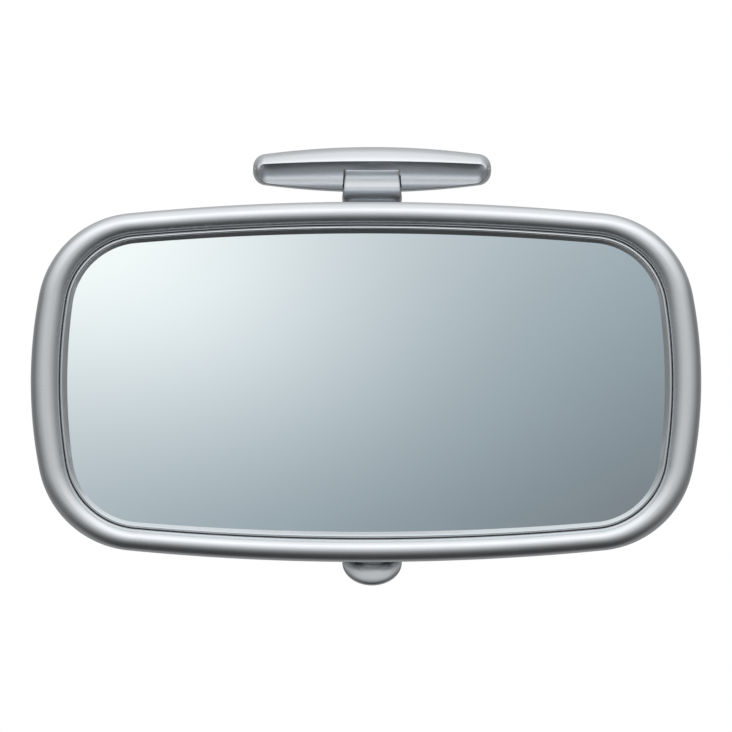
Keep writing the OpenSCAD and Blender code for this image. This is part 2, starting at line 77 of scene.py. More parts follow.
# Head
TRIM_GAP = 0.04 * MM        # between the bezel's inner edge and the trim
GLASS_EDGE = 1 * MM         # how far the glass runs under the trim
LEDGE = 0.5 * MM            # width of the trim's ledge
LEDGE_DROP = 0.2 * MM       # step from the ledge to the slope inside it
LIP_EDGE = 0.25 * MM        # height of the trim's edge above the glass
GLASS_DROP = 0.5 * MM       # how much narrower the trim is along the bottom
CASE_STEP = 0.5 * MM        # how far the case stands inside the bezel
CASE_WALL = 2 * MM
DOME_INSET = 28 * MM
RIM_LENGTH = 4 * MM
APERTURE_R = 13 * MM
SCREW_SEAT = 2.15 * MM      # depth of the case screws' seats in the back
SCREW_HEAD_R = 3.2 * MM
SCREW_SHANK_R = 1.45 * MM
SCREW_DOME = 0.9 * MM
COUNTERBORE_R = 3.5 * MM
POST_R = 4.4 * MM           # posts inside the case that the screws go through
POST_DEPTH = 6 * MM
CHAMFER = 0.1 * MM          # how far a cutter stands out past the face that it cuts
SLOT_GAP = 0.6 * MM         # between the lever's tab and the sides of its slot
TUBE_END = math.radians(160)
TUBE_H = 4.5 * MM
CREASE_DEPTH = 3 * MM       # from the bezel's front to its inner edge
GROOVE_START = 0.945        # where the groove inside the rail starts, as a share of the rail's width
GROOVE_FLOOR = 0.988        # where its floor starts, the same way
GROOVE_DEPTH = 1.4 * MM
LIP_WALL = 0.4 * MM         # metal behind the groove's floor
WALL = 1.3 * MM

# Foot and arm
RIDGE_Z = 2.75 * MM
RIDGE_INSET = 1.7 * MM
COVE_DEPTH = 2.95 * MM
COVE_LOW_Z = -3.7 * MM
COVE_END = 5 * MM
BOTTOM_ROUND = 0.7 * MM
FOOT_WALL = 1.5 * MM
END_TAPER = 2.2 * MM
NOTCH_GAP = 0.22 * MM
NOTCH_TOP = -0.6 * MM
PIVOT = Vector((0, -8.5 * MM, 0))
POCKET_R = 5.4 * MM
NUT_POCKET_R = 4.6 * MM
NUT_POCKET_X = 10.6 * MM
BALL_R = 8 * MM
BOSS_R = 8.5 * MM

# Camera and floor
CAMERA_DISTANCE = 9.0
VIEW_SHARE = 1.091          # picture width over the object's width
SENSOR = 36.0
FLOOR_DROP = 0.3
FLOOR_HALF = 3.5


# ---------------------------------------------------------------- geometry helpers

def middle(node):
    """Centre of a CAD node's box and half its size."""
    lo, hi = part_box(node)
    return (lo + hi) / 2, (hi - lo) / 2


def arc_points(centre, radius, start, end, steps):
    return [centre + radius * Vector((math.cos(start + (end - start) * i / steps),
                                      math.sin(start + (end - start) * i / steps)))
            for i in range(steps)]


def outline(half_w, half_h, radii, steps=(10, 36, 22)):
    """Closed outline with bowed sides, anticlockwise from the middle of the right side."""
    r_top, r_side, r_corner = radii
    top = Vector((0, half_h - r_top))
    side = Vector((half_w - r_side, 0))
    gap = side - top
    u = gap.normalized()
    r1, r2, d = r_top - r_corner, r_side - r_corner, gap.length
    t = (r1 * r1 - r2 * r2 + d * d) / (2 * d)
    corner = top + u * t + Vector((u.y, -u.x)) * math.sqrt(r1 * r1 - t * t)
    a1 = math.atan2(corner.y - side.y, corner.x - side.x)
    a2 = math.atan2(corner.y - top.y, corner.x - top.x)
    quarter = (arc_points(side, r_side, 0, a1, steps[0])
               + arc_points(corner, r_corner, a1, a2, steps[1])
               + arc_points(top, r_top, a2, math.pi / 2, steps[2])
               + [Vector((0, half_h))])
    flip = [Vector((-p.x, p.y)) for p in reversed(quarter)]
    upper = quarter + flip[1:]
    lower = [Vector((p.x, -p.y)) for p in reversed(upper)]
    return upper + lower[1:-1]


def inset_outline(half_w, half_h, radii, inset, **kw):
    return outline(half_w - inset, half_h - inset, [r - inset for r in radii], **kw)


def blend_points(a, b, t):
    return [p + (q - p) * t for p, q in zip(a, b)]


def ring_at(points, y, centre=Vector((0, 0, 0))):
    """Outline points as a ring of 3-D points. y is a depth, or a function of x and z."""
    depth = y if callable(y) else (lambda x, z: y)
    found = []
    for p in points:
        x, z = centre.x + p.x, centre.z + p.y
        found.append(Vector((x, depth(x, z), z)))
    return found


def finish_mesh(name, mesh_bm, smooth=35):
    """Turns a bmesh into an object whose faces are smooth below an angle in degrees."""
    bmesh.ops.recalc_face_normals(mesh_bm, faces=mesh_bm.faces)
    data = bpy.data.meshes.new(name)
    mesh_bm.to_mesh(data)
    mesh_bm.free()
    shade(data, smooth)
    piece = bpy.data.objects.new(name, data)
    bpy.context.scene.collection.objects.link(piece)
    return piece


def shade(data, smooth):
    data.shade_smooth()
    data.set_sharp_from_angle(angle=math.radians(smooth))


def loft(name, rings, closed=False, smooth=35):
    """Skin over a row of rings of equal length. A closed loft joins its last ring to its first."""
    bm = bmesh.new()
    rows = [[bm.verts.new(p) for p in ring] for ring in rings]
    n = len(rows[0])
    for i in range(len(rows) if closed else len(rows) - 1):
        a, b = rows[i], rows[(i + 1) % len(rows)]
        for j in range(n):
            k = (j + 1) % n
            bm.faces.new((a[j], a[k], b[k], b[j]))
    if not closed:
        bm.faces.new(rows[0])
        bm.faces.new(rows[-1])
    return finish_mesh(name, bm, smooth)


def lathe(name, profile, origin, axis="Y", steps=72, smooth=35):
    """Solid of revolution from points of (radius, distance along the axis)."""
    bm = bmesh.new()
    rows = []
    for radius, along in profile:
        if radius < 1e-7:
            rows.append([bm.verts.new(place(0, 0, along, axis, origin))])
            continue
        rows.append([bm.verts.new(place(radius * math.cos(2 * math.pi * i / steps),
                                        radius * math.sin(2 * math.pi * i / steps),
                                        along, axis, origin)) for i in range(steps)])
    for a, b in zip(rows, rows[1:]):
        for i in range(steps):
            k = (i + 1) % steps
            corners = [a[i % len(a)], a[k % len(a)], b[k % len(b)], b[i % len(b)]]
            corners = list(dict.fromkeys(corners))
            if len(corners) > 2:
                bm.faces.new(corners)
    return finish_mesh(name, bm, smooth)


def place(u, v, along, axis, origin):
    if axis == "Y":
        return Vector((origin.x + u, origin.y + along, origin.z + v))
    return Vector((origin.x + along, origin.y + u, origin.z + v))


def box_mesh(name, lo, hi, bevel=0.0):
    bm = bmesh.new()
    bmesh.ops.create_cube(bm, size=1)
    for v in bm.verts:
        v.co = Vector([lo[i] if v.co[i] < 0 else hi[i] for i in range(3)])
    if bevel:
        bmesh.ops.bevel(bm, geom=bm.edges[:], offset=bevel, segments=4, profile=0.5, affect="EDGES")
    return finish_mesh(name, bm)


def apply_modifiers(piece):
    bpy.context.view_layer.update()
    evaluated = piece.evaluated_get(bpy.context.evaluated_depsgraph_get())
    data = bpy.data.meshes.new_from_object(evaluated)
    piece.modifiers.clear()
    piece.data = data


def combine(piece, other, operation):
    """Boolean of two solids, after which the second is removed."""
    change = piece.modifiers.new("cut", "BOOLEAN")
    change.operation = operation
    change.solver = "MANIFOLD"
    change.object = other
    apply_modifiers(piece)
    bpy.data.objects.remove(other)


def smooth_at(t):
    t = min(1.0, max(0.0, t))
    return t * t * (3 - 2 * t)


def through(points, steps):
    """Smooth curve through a few points (Catmull-Rom), as a list of tuples."""
    ends = [points[0]] + list(points) + [points[-1]]
    found = []
    for i in range(1, len(ends) - 2):
        p0, p1, p2, p3 = [np.array(p, float) for p in ends[i - 1:i + 3]]
        for s in range(steps):
            t = s / steps
            found.append(tuple(0.5 * (2 * p1 + (p2 - p0) * t + (2 * p0 - 5 * p1 + 4 * p2 - p3) * t * t
                                      + (3 * p1 - p0 - 3 * p2 + p3) * t ** 3)))
    return found + [tuple(points[-1])]


# ---------------------------------------------------------------- materials

def start_material(name, metallic, roughness, color):
    material = bpy.data.materials.new(name)
    material.use_nodes = True
    tree = material.node_tree
    shader = tree.nodes["Principled BSDF"]
    shader.inputs["Metallic"].default_value = metallic
    shader.inputs["Roughness"].default_value = roughness
    shader.inputs["Base Color"].default_value = (*color, 1)
    return material, tree, shader


def noise(tree, scale, detail=3.0, stretch=(1, 1, 1)):
    """Noise over the object's own coordinates, with its features 1/scale metres across."""
    where = tree.nodes.new("ShaderNodeTexCoord")
    mapping = tree.nodes.new("ShaderNodeMapping")
    mapping.inputs["Scale"].default_value = stretch
    texture = tree.nodes.new("ShaderNodeTexNoise")
    texture.inputs["Scale"].default_value = scale
    texture.inputs["Detail"].default_value = detail
    tree.links.new(where.outputs["Object"], mapping.inputs["Vector"])
    tree.links.new(mapping.outputs["Vector"], texture.inputs["Vector"])
    return texture.outputs["Fac"]


def spread(tree, value, low, high):
    """Maps a noise value to a range."""
    node = tree.nodes.new("ShaderNodeMapRange")
    node.inputs["From Min"].default_value = 0.3
    node.inputs["From Max"].default_value = 0.7
    node.inputs["To Min"].default_value = low
    node.inputs["To Max"].default_value = high
    tree.links.new(value, node.inputs["Value"])
    return node.outputs["Result"]


def shades(tree, value, dark, light):
    """Colour that varies between two shades with a noise value."""
    ramp = tree.nodes.new("ShaderNodeValToRGB")
    ramp.color_ramp.elements[0].position = 0.3
    ramp.color_ramp.elements[1].position = 0.7
    ramp.color_ramp.elements[0].color = (*dark, 1)
    ramp.color_ramp.elements[1].color = (*light, 1)
    tree.links.new(value, ramp.inputs["Fac"])
    return ramp.outputs["Color"]


def bump(tree, shader, height, strength, distance):
    node = tree.nodes.new("ShaderNodeBump")
    node.inputs["Strength"].default_value = strength
    node.inputs["Distance"].default_value = distance
    tree.links.new(height, node.inputs["Height"])
    tree.links.new(node.outputs["Normal"], shader.inputs["Normal"])


def metal(name, color, rough=(0.2, 0.28), tone=0.03, grain=2500, grain_depth=0.000004, stretch=(1, 1, 1)):
    """Metal with a fine satin grain, and a roughness and tone that drift slightly over it."""
    material, tree, shader = start_material(name, 1.0, rough[0], color)
    drift = noise(tree, 38, 4)
    tree.links.new(shades(tree, drift, [c * (1 - tone) for c in color], color),
                   shader.inputs["Base Color"])
    fine = noise(tree, grain, 2, stretch)
    tree.links.new(spread(tree, noise(tree, 160, 5), *rough), shader.inputs["Roughness"])
    bump(tree, shader, fine, 0.35, grain_depth)
    return material


def moulded(name, color, rough=(0.5, 0.65), grain=900, grain_depth=0.00003, light=1.25):
    """Plastic or rubber with a fine moulded texture."""
    material, tree, shader = start_material(name, 0.0, rough[0], color)
    tree.links.new(shades(tree, noise(tree, 60, 4), color, [min(1, c * light) for c in color]),
                   shader.inputs["Base Color"])
    tree.links.new(spread(tree, noise(tree, 220, 4), *rough), shader.inputs["Roughness"])
    bump(tree, shader, noise(tree, grain, 3), 0.5, grain_depth)
    return material


def mirror_material(name, color):
    """Silvered glass: nearly flat reflection with the faintest haze left by wiping."""
    material, tree, shader = start_material(name, 1.0, 0.02, color)
    wipe = noise(tree, 45, 5, (1, 1, 2.5))
    tree.links.new(shades(tree, wipe, [c * 0.993 for c in color], color), shader.inputs["Base Color"])
    tree.links.new(spread(tree, wipe, 0.008, 0.014), shader.inputs["Roughness"])
    return material


CHROME = (0.80, 0.83, 0.86)
SILVERED = (0.80, 0.86, 0.88)
MATERIALS = {
    "satin_chrome": metal("satin_chrome", CHROME),
    "bright_trim": metal("bright_trim", (0.82, 0.85, 0.87), rough=(0.12, 0.18)),
    # Darker, rougher chrome for the groove inside the rail: painted shade, standing in for the shade that
    # falls there
    "groove_painted_shade": metal("groove_painted_shade", (0.66, 0.68, 0.7), rough=(0.3, 0.42), tone=0.1),
    "satin_case": metal("satin_case", (0.76, 0.79, 0.82), rough=(0.26, 0.34), grain_depth=0.000006),
    "mirror_glass": mirror_material("mirror_glass", SILVERED),
    "silvering": mirror_material("silvering", (0.85, 0.88, 0.9)),
    "foam": moulded("foam", (0.03, 0.03, 0.033), rough=(0.85, 0.95), grain=1600),
    "pad_rubber": moulded("pad_rubber", (0.02, 0.02, 0.022), rough=(0.65, 0.8)),
    "zinc_steel": metal("zinc_steel", (0.62, 0.63, 0.66), rough=(0.28, 0.4), tone=0.12),
    "screw_steel": metal("screw_steel", (0.3, 0.31, 0.33), rough=(0.3, 0.42), tone=0.15),
    "spring_steel": metal("spring_steel", (0.42, 0.44, 0.48), rough=(0.22, 0.35), tone=0.1,
                          stretch=(1, 12, 1)),
    "black_plastic": moulded("black_plastic", (0.025, 0.025, 0.028)),
    "nylon": moulded("nylon", (0.72, 0.70, 0.64), rough=(0.4, 0.5), light=1.05),
}


def dress(piece, name):
    piece.data.materials.clear()
    piece.data.materials.append(MATERIALS[name])


def add_piece(piece, body, slot_name, *nodes):
    """Gives a piece its material, hides the CAD parts that it stands in for, and puts it under the body
    that it moves with.
    """
    dress(piece, slot_name)
    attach(piece, body)
    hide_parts(*nodes)
    return piece


# ---------------------------------------------------------------- head

ring_mid, ring_half = middle("bezel")
trim_half = middle("inner_trim")[1]
glass_half = middle("mirror_glass")[1]
HEAD = (ring_half.x, ring_half.z)
CREASE = (trim_half.x + TRIM_GAP, trim_half.z + TRIM_GAP)
GLASS = (glass_half.x - GLASS_EDGE, glass_half.z - GLASS_EDGE)
front_y = ring_mid.y - ring_half.y
rim_y = ring_mid.y + ring_half.y
tube_y = front_y + TUBE_H
crease_y = front_y + CREASE_DEPTH
glass_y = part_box("mirror_glass")[0].y
back_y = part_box("rear_case")[1].y


def make_bezel():
    """Half-round chrome rail with a groove inside it and a straight skirt behind, hollow from the rear.

    Also gives the numbers of the groove's faces.
    """
    outer = outline(*HEAD, HEAD_RADII)
    crease = outline(*CREASE, CREASE_RADII)
    steps = 30
    floor_y = crease_y + GROOVE_DEPTH
    profile = [(0.03, rim_y), (0.0, rim_y - 0.35 * MM)]
    for i in range(steps + 1):
        a = TUBE_END * i / steps
        share = GROOVE_START * (1 - math.cos(a)) / (1 - math.cos(TUBE_END))
        profile.append((share, tube_y - TUBE_H * math.sin(a)))
    groove = range((len(profile) - 1) * len(outer), (len(profile) + 2) * len(outer))
    profile += [(GROOVE_START + 0.02, crease_y + 0.35 * MM), (GROOVE_FLOOR, floor_y), (1.0, floor_y),
                (1.0, floor_y + LIP_WALL), (0.86, floor_y + LIP_WALL)]
    for i in range(steps, 0, -3):
        a = TUBE_END * i / steps
        share = (1 - math.cos(a)) / (1 - math.cos(TUBE_END))
        profile.append((0.16 + 0.66 * share, tube_y - (TUBE_H - WALL) * math.sin(a)))
    profile.append((0.16, rim_y))
    rings = [ring_at(blend_points(outer, crease, t), y, ring_mid) for t, y in profile]
    return loft("bezel_rail", rings, closed=True), groove


def paint_groove_shade(piece, faces):
    """Paints shade into the groove inside the rail: its faces get a darker, rougher chrome that stands in
    for the shade falling there.
    """
    piece.data.materials.append(MATERIALS["groove_painted_shade"])
    for i in faces:
        piece.data.polygons[i].material_index = 1


def make_trim():
    """Chrome lip round the glass: a narrow rounded ledge, then a slope down to the glass."""
    edge = inset_outline(*CREASE, CREASE_RADII, TRIM_GAP)
    ledge = inset_outline(*CREASE, CREASE_RADII, LEDGE)
    opening = outline(GLASS[0], GLASS[1] + GLASS_DROP / 2, GLASS_RADII)
    inner = [p - Vector((0, GLASS_DROP / 2)) for p in opening]
    under = inset_outline(*GLASS, GLASS_RADII, -GLASS_EDGE - 0.1 * MM)
    slope_y = glass_y - LIP_EDGE
    rings = [ring_at(edge, glass_y + 5 * MM, ring_mid), ring_at(edge, crease_y + 0.14 * MM, ring_mid),
             ring_at(blend_points(edge, ledge, 0.5), crease_y + 0.03 * MM, ring_mid),
             ring_at(blend_points(edge, ledge, 0.9), crease_y - 0.04 * MM, ring_mid),
             ring_at(blend_points(ledge, inner, 0.04), crease_y + LEDGE_DROP, ring_mid)]
    for t in (0.2, 0.4, 0.6, 0.8, 0.93):
        y = crease_y + LEDGE_DROP + (slope_y - crease_y - LEDGE_DROP) * t
        rings.append(ring_at(blend_points(ledge, inner, t), y, ring_mid))
    rings += [ring_at(inner, slope_y, ring_mid), ring_at(inner, glass_y, ring_mid),
              ring_at(under, glass_y, ring_mid), ring_at(under, glass_y + 5 * MM, ring_mid)]
    return loft("glass_trim", rings, closed=True)


def make_glass():
    """Wedge of glass, thick at the top, with a ground edge."""
    lo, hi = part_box("mirror_glass")
    thin, thick = 2.2 * MM, hi.y - lo.y
    full = inset_outline(*GLASS, GLASS_RADII, -GLASS_EDGE)
    ground = inset_outline(*GLASS, GLASS_RADII, -GLASS_EDGE + 0.4 * MM)

    def rear(x, z):
        return lo.y + thin + (thick - thin) * (z - lo.z) / (hi.z - lo.z)

    rings = [ring_at(ground, lo.y, ring_mid), ring_at(full, lo.y + 0.4 * MM, ring_mid),
             ring_at(full, rear, ring_mid)]
    return loft("glass_wedge", rings, smooth=20)


def make_case():
    """Rear shell: a short rim, a rounded shoulder and a flat back with its openings."""
    shoulder_y = rim_y + RIM_LENGTH

    def shoulder(inset0, y1, steps=26):
        found = []
        for i in range(steps + 1):
            a = math.pi / 2 * i / steps
            found.append((DOME_INSET - (DOME_INSET - inset0) * math.cos(a),
                          shoulder_y + (y1 - shoulder_y) * math.sin(a)))
        return found

    outside = [(CASE_STEP + 0.25 * MM, rim_y), (CASE_STEP, rim_y + 0.25 * MM)]
    outside += shoulder(CASE_STEP, back_y)
    inside = [(CASE_STEP + CASE_WALL, rim_y)] + shoulder(CASE_STEP + CASE_WALL, back_y - CASE_WALL)
    rings = [ring_at(inset_outline(*HEAD, HEAD_RADII, d), y, ring_mid)
             for d, y in list(reversed(inside)) + outside]
    case = loft("case_shell", rings)

    ball, _ = middle("ball_liner")
    centre = Vector((ball.x, 0, ball.z))
    past = back_y + CHAMFER
    aperture = [(0, back_y - POST_DEPTH), (APERTURE_R, back_y - POST_DEPTH),
                (APERTURE_R, back_y - 0.8 * MM), (APERTURE_R + 0.9 * MM, past), (0, past)]
    combine(case, lathe("cutter", aperture, centre), "DIFFERENCE")
    seat = back_y - SCREW_SEAT
    for screw in screw_places():
        hole = [(0, seat), (COUNTERBORE_R, seat), (COUNTERBORE_R, back_y - 0.4 * MM),
                (COUNTERBORE_R + 0.5 * MM, past), (0, past)]
        post = [(0, back_y - POST_DEPTH), (POST_R, back_y - POST_DEPTH), (POST_R, back_y - 1 * MM),
                (0, back_y - 1 * MM)]
        combine(case, lathe("post", post, screw, steps=40), "UNION")
        combine(case, lathe("cutter", hole, screw, steps=48), "DIFFERENCE")
    tab_lo, tab_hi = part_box("lever_tab")
    slot_half = (tab_hi.x - tab_lo.x) / 2 + SLOT_GAP
    slot_lo = (-slot_half, rim_y - 1 * MM, ring_mid.z - ring_half.z - 2 * MM)
    slot_hi = (slot_half, tab_hi.y + 0.9 * MM, tab_hi.z + 3 * MM)
    combine(case, box_mesh("cutter", slot_lo, slot_hi, 1.2 * MM), "DIFFERENCE")
    shade(case.data, 32)
    return case


def screw_places():
    """Axes of the four case screws."""
    lo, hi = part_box("case_screws")
    return [Vector((x, 0, z)) for x in (lo.x + SCREW_HEAD_R, hi.x - SCREW_HEAD_R)
            for z in (lo.z + SCREW_HEAD_R, hi.z - SCREW_HEAD_R)]


def make_case_screws():
    """Domed screw heads with a cross recess, on their shanks."""
    lo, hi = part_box("case_screws")
    seat = back_y - SCREW_SEAT
    top = hi.y
    heads = []
    for at in screw_places():
        profile = [(0, lo.y), (SCREW_SHANK_R, lo.y + 0.6 * MM), (SCREW_SHANK_R, seat),
                   (SCREW_HEAD_R, seat), (SCREW_HEAD_R, top - SCREW_DOME)]
        for degrees in range(15, 90, 15):
            a = math.radians(degrees)
            profile.append((SCREW_HEAD_R * math.cos(a), top - SCREW_DOME + SCREW_DOME * math.sin(a)))
        profile.append((0, top))
        head = lathe("head", profile, at, steps=48)
        for wide, deep in ((1.9, 0.36), (0.36, 1.9)):
            cut = box_mesh("cutter", (at.x - wide * MM, top - 1.1 * MM, at.z - deep * MM),
                           (at.x + wide * MM, top + 1 * MM, at.z + deep * MM))
            combine(head, cut, "DIFFERENCE")
        heads.append(head)
    return join("screw_heads", heads)


def join(name, parts):
    """One object from several, whose meshes stay separate solids."""
    bm = bmesh.new()
    for part in parts:
        bm.from_mesh(part.data)
        bpy.data.objects.remove(part)
    return finish_mesh(name, bm)


# ---------------------------------------------------------------- foot

foot_mid, foot_half = middle("foot_cover")
foot_rear = foot_mid.y + foot_half.y
foot_front = foot_mid.y - foot_half.y


def cove_depth(x, z):
    """Depth of the hollow face under the foot's ridge, with its closed ends and rolled lower edge."""
    ridge_z = RIDGE_Z - x * x / (2 * RIDGE_TOP_RADII[0])
    v = min(1.0, max(0.0, (ridge_z - z) / (ridge_z - COVE_LOW_Z)))
    u = min(1.0, max(0.0, (foot_half.x - RIDGE_INSET - abs(x)) / COVE_END))
    end = 1 - (1 - u) ** 3
    below = max(0.0, COVE_LOW_Z - z)
    return (foot_front + COVE_DEPTH * (1 - (1 - v) ** 2) * end + 90 * below * below
            + END_TAPER * (x / foot_half.x) ** 2)


def ridge_loop(steps):
    """Edge of the foot's front: the ridge along its top, and a line just inside its lower edge."""
    half_w = foot_half.x - RIDGE_INSET
    top = outline(half_w, RIDGE_Z, RIDGE_TOP_RADII, steps)
    low = outline(half_w, foot_half.z - BOTTOM_ROUND, [r - BOTTOM_ROUND for r in FOOT_RADII], steps)
    upper = len(top) // 2 + 1
    return top[:upper] + low[upper:]


def make_foot_cover():
    """Boat-shaped cover: a rounded band above a ridge, and a hollow face below it."""
    steps = (14, 22, 46)
    size = (foot_half.x, foot_half.z)
    rim = outline(*size, FOOT_RADII, steps)
    ridge = ridge_loop(steps)
    turn = math.radians(70)
    inner = inset_outline(*size, FOOT_RADII, FOOT_WALL, steps=steps)
    rings = [ring_at(inner, foot_rear - 5 * MM), ring_at(inner, foot_rear),
             ring_at(inset_outline(*size, FOOT_RADII, 0.2 * MM, steps=steps), foot_rear),
             ring_at(rim, foot_rear - 0.25 * MM)]
    side = [0.75 - 0.28 * smooth_at(0.5 + p.y / (2 * foot_half.z)) for p in rim]
    bands = 18
    for i in range(bands + 1):
        a = turn * i / bands
        k = (1 - math.cos(a)) / (1 - math.cos(turn))
        ring = []
        for p, q, share in zip(rim, ridge, side):
            at = p + (q - p) * k
            edge_y = cove_depth(q.x, q.y)
            side_y = foot_rear + (edge_y - foot_rear) * share
            y = side_y + (edge_y - side_y) * math.sin(a) / math.sin(turn)
            ring.append(Vector((at.x, y, at.y)))
        rings.append(ring)
    cover = loft_face("foot_shell", rings, cove_depth)
    combine(cover, knuckle_notch(), "DIFFERENCE")
    half = knuckle_half(NOTCH_TOP) + NOTCH_GAP
    for radius, reach in ((POCKET_R, half), (NUT_POCKET_R, NUT_POCKET_X)):
        pocket = [(0, -reach), (radius, -reach), (radius, reach), (0, reach)]
        combine(cover, lathe("cutter", pocket, PIVOT, axis="X", steps=96), "DIFFERENCE")
    shade(cover.data, 40)
    return cover


def knuckle_half(z):
    """Half width of the arm's knuckle at a height."""
    heights, halves = [row[0] * MM for row in ARM_WIDTH[::-1]], [row[1] * MM for row in ARM_WIDTH[::-1]]
    return float(np.interp(z, heights, halves))


def knuckle_notch():
    """Opening in the cover that follows the sides of the knuckle."""
    low = -foot_half.z - 2 * MM
    rings = []
    for y in (foot_front - 1 * MM, foot_rear - 2 * MM):
        top_w, low_w = knuckle_half(NOTCH_TOP) + NOTCH_GAP, knuckle_half(low) + NOTCH_GAP
        rings.append([Vector((-low_w, y, low)), Vector((low_w, y, low)),
                      Vector((top_w, y, NOTCH_TOP)), Vector((-top_w, y, NOTCH_TOP))])
    return loft("notch", rings)


def loft_face(name, rings, depth, steps=26):
    """Loft whose first ring is capped, and whose last is filled by columns from its top to its foot."""
    bm = bmesh.new()
    rows = [[bm.verts.new(p) for p in ring] for ring in rings]
    n = len(rows[0])
    for a, b in zip(rows, rows[1:]):
        for j in range(n):
            k = (j + 1) % n
            bm.faces.new((a[j], a[k], b[k], b[j]))
    bm.faces.new(rows[0])
    last = rows[-1]
    columns = []
    for i in range(n // 2 + 1):
        top, low = last[i], last[(n - i) % n]
        if top is low:
            columns.append([top])
            continue
        column = [top]
        for s in range(1, steps):
            t = 0.5 - 0.5 * math.cos(math.pi * s / steps)
            at = top.co.lerp(low.co, t)
            column.append(bm.verts.new(Vector((at.x, depth(at.x, at.z), at.z))))
        columns.append(column + [low])
    for a, b in zip(columns, columns[1:]):
        for s in range(steps):
            corners = [a[min(s, len(a) - 1)], a[min(s + 1, len(a) - 1)],
                       b[min(s + 1, len(b) - 1)], b[min(s, len(b) - 1)]]
            corners = list(dict.fromkeys(corners))
            if len(corners) > 2:
                bm.faces.new(corners)
    return finish_mesh(name, bm)


# ---------------------------------------------------------------- arm

# Side view of the arm in millimetres as (height, depth), down its front and down its back
ARM_FRONT = [(0.7, -13.3), (0.3, -13.68), (-0.1, -13.78), (-0.5, -13.72), (-0.9, -13.56),
             (-1.4, -13.33), (-1.9, -13.14), (-2.4, -13.01), (-2.9, -12.93), (-3.5, -12.9),
             (-4.1, -12.92), (-4.7, -12.98), (-5.3, -13.06), (-5.8, -13.13), (-6.2, -13.15),
             (-6.6, -13.12), (-7.1, -13.02), (-7.6, -12.86), (-8.1, -12.64), (-8.6, -12.35),
             (-9.1, -11.98), (-9.6, -11.5), (-10, -11.0), (-10.4, -10.4), (-11, -10.1), (-12, -10.4),
             (-14, -11.2), (-18, -12.2), (-30, -13), (-40, -13.8), (-46, -15.6), (-50.5, -18),
             (-54.5, -20.2), (-58, -21.4), (-61, -21.45)]
ARM_BACK = [(0.6, -5.6), (-8, -5.6), (-12, -5.8), (-30, -5.8), (-38, -6.2), (-44, -7.4), (-48.5, -10),
            (-53, -12.6), (-57, -13.05), (-61, -13.05)]
# Half widths and corner radii of the arm as (height, half width, corner radius)
ARM_WIDTH = [(0.6, 9.1, 0.8), (-3, 9.25, 0.8), (-6, 9.5, 0.8), (-9, 9.85, 0.9), (-10.4, 9.8, 1.2),
             (-12.2, 9.1, 2), (-15, 7.6, 2.6), (-20, 7.0, 2.8), (-32, 6.5, 2.8), (-44, 6.2, 2.8),
             (-50, 6.6, 2.6), (-56, 7.6, 2), (-61, 8.4, 1.6)]
EAR_X = 5.4 * MM            # half width of the arm's hub between the ears
HUB_R = 4.3 * MM


def arm_section(z, front, back, half, corner, steps=6):
    """Rounded rectangle across the arm at a height, all in millimetres."""
    corner = min(corner, (back - front) / 2 - 0.1)
    points = []
    for sx, y, turn in ((1, back, 0), (-1, back, 1), (-1, front, 2), (1, front, 3)):
        cx = sx * (half - corner)
        cy = y - corner if y == back else y + corner
        for i in range(steps + 1):
            a = math.pi / 2 * (turn + i / steps)
            points.append(Vector((cx + corner * math.cos(a), cy + corner * math.sin(a), z)) * MM)
    return points


def make_arm():
    """Cast arm, its parts blended into one skin."""
    curves = [np.array(through(list(curve), 6))[::-1] for curve in (ARM_FRONT, ARM_BACK, ARM_WIDTH)]
    heights = np.unique(np.concatenate([curves[0][:, 0], curves[2][:, 0]]).round(1))
    front = np.interp(heights, curves[0][:, 0], curves[0][:, 1])
    back = np.interp(heights, curves[1][:, 0], curves[1][:, 1])
    half = np.interp(heights, curves[2][:, 0], curves[2][:, 1])
    corner = np.interp(heights, curves[2][:, 0], curves[2][:, 2])
    body = loft("arm_casting", [arm_section(*row) for row in zip(heights, front, back, half, corner)])
    boss_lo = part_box("arm")[0]
    axis = Vector((0, 0, boss_lo.z + BOSS_R))
    front_y_boss, rear = boss_lo.y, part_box("stud_lock_washer")[0].y
    boss = [(0, front_y_boss), (BOSS_R, front_y_boss), (BOSS_R, rear), (0, rear)]
    combine(body, lathe("boss", boss, axis, steps=96), "UNION")
    clear = [(0, rear), (BOSS_R + 0.6 * MM, rear), (BOSS_R + 0.6 * MM, 0), (0, 0)]
    combine(body, lathe("cutter", clear, axis, steps=96), "DIFFERENCE")
    hub = [(0, -EAR_X), (HUB_R, -EAR_X), (HUB_R, EAR_X), (0, EAR_X)]
    combine(body, lathe("hub", hub, PIVOT, axis="X"), "UNION")
    for sign in (-1, 1):
        ends = sorted((sign * EAR_X, sign * 15 * MM))
        relief = [(0, ends[0]), (HUB_R + 0.2 * MM, ends[0]), (HUB_R + 0.2 * MM, ends[1]), (0, ends[1])]
        combine(body, lathe("cutter", relief, PIVOT, axis="X"), "DIFFERENCE")
        combine(body, box_mesh("cutter", (ends[0], PIVOT.y, -8.5 * MM), (ends[1], 0, 5 * MM)), "DIFFERENCE")
    remesh = body.modifiers.new("skin", "REMESH")
    remesh.mode = "VOXEL"
    remesh.voxel_size = 0.28 * MM
    soften = body.modifiers.new("soften", "SMOOTH")
    soften.factor = 0.5
    soften.iterations = 6
    apply_modifiers(body)
    body.data.shade_smooth()
    return body


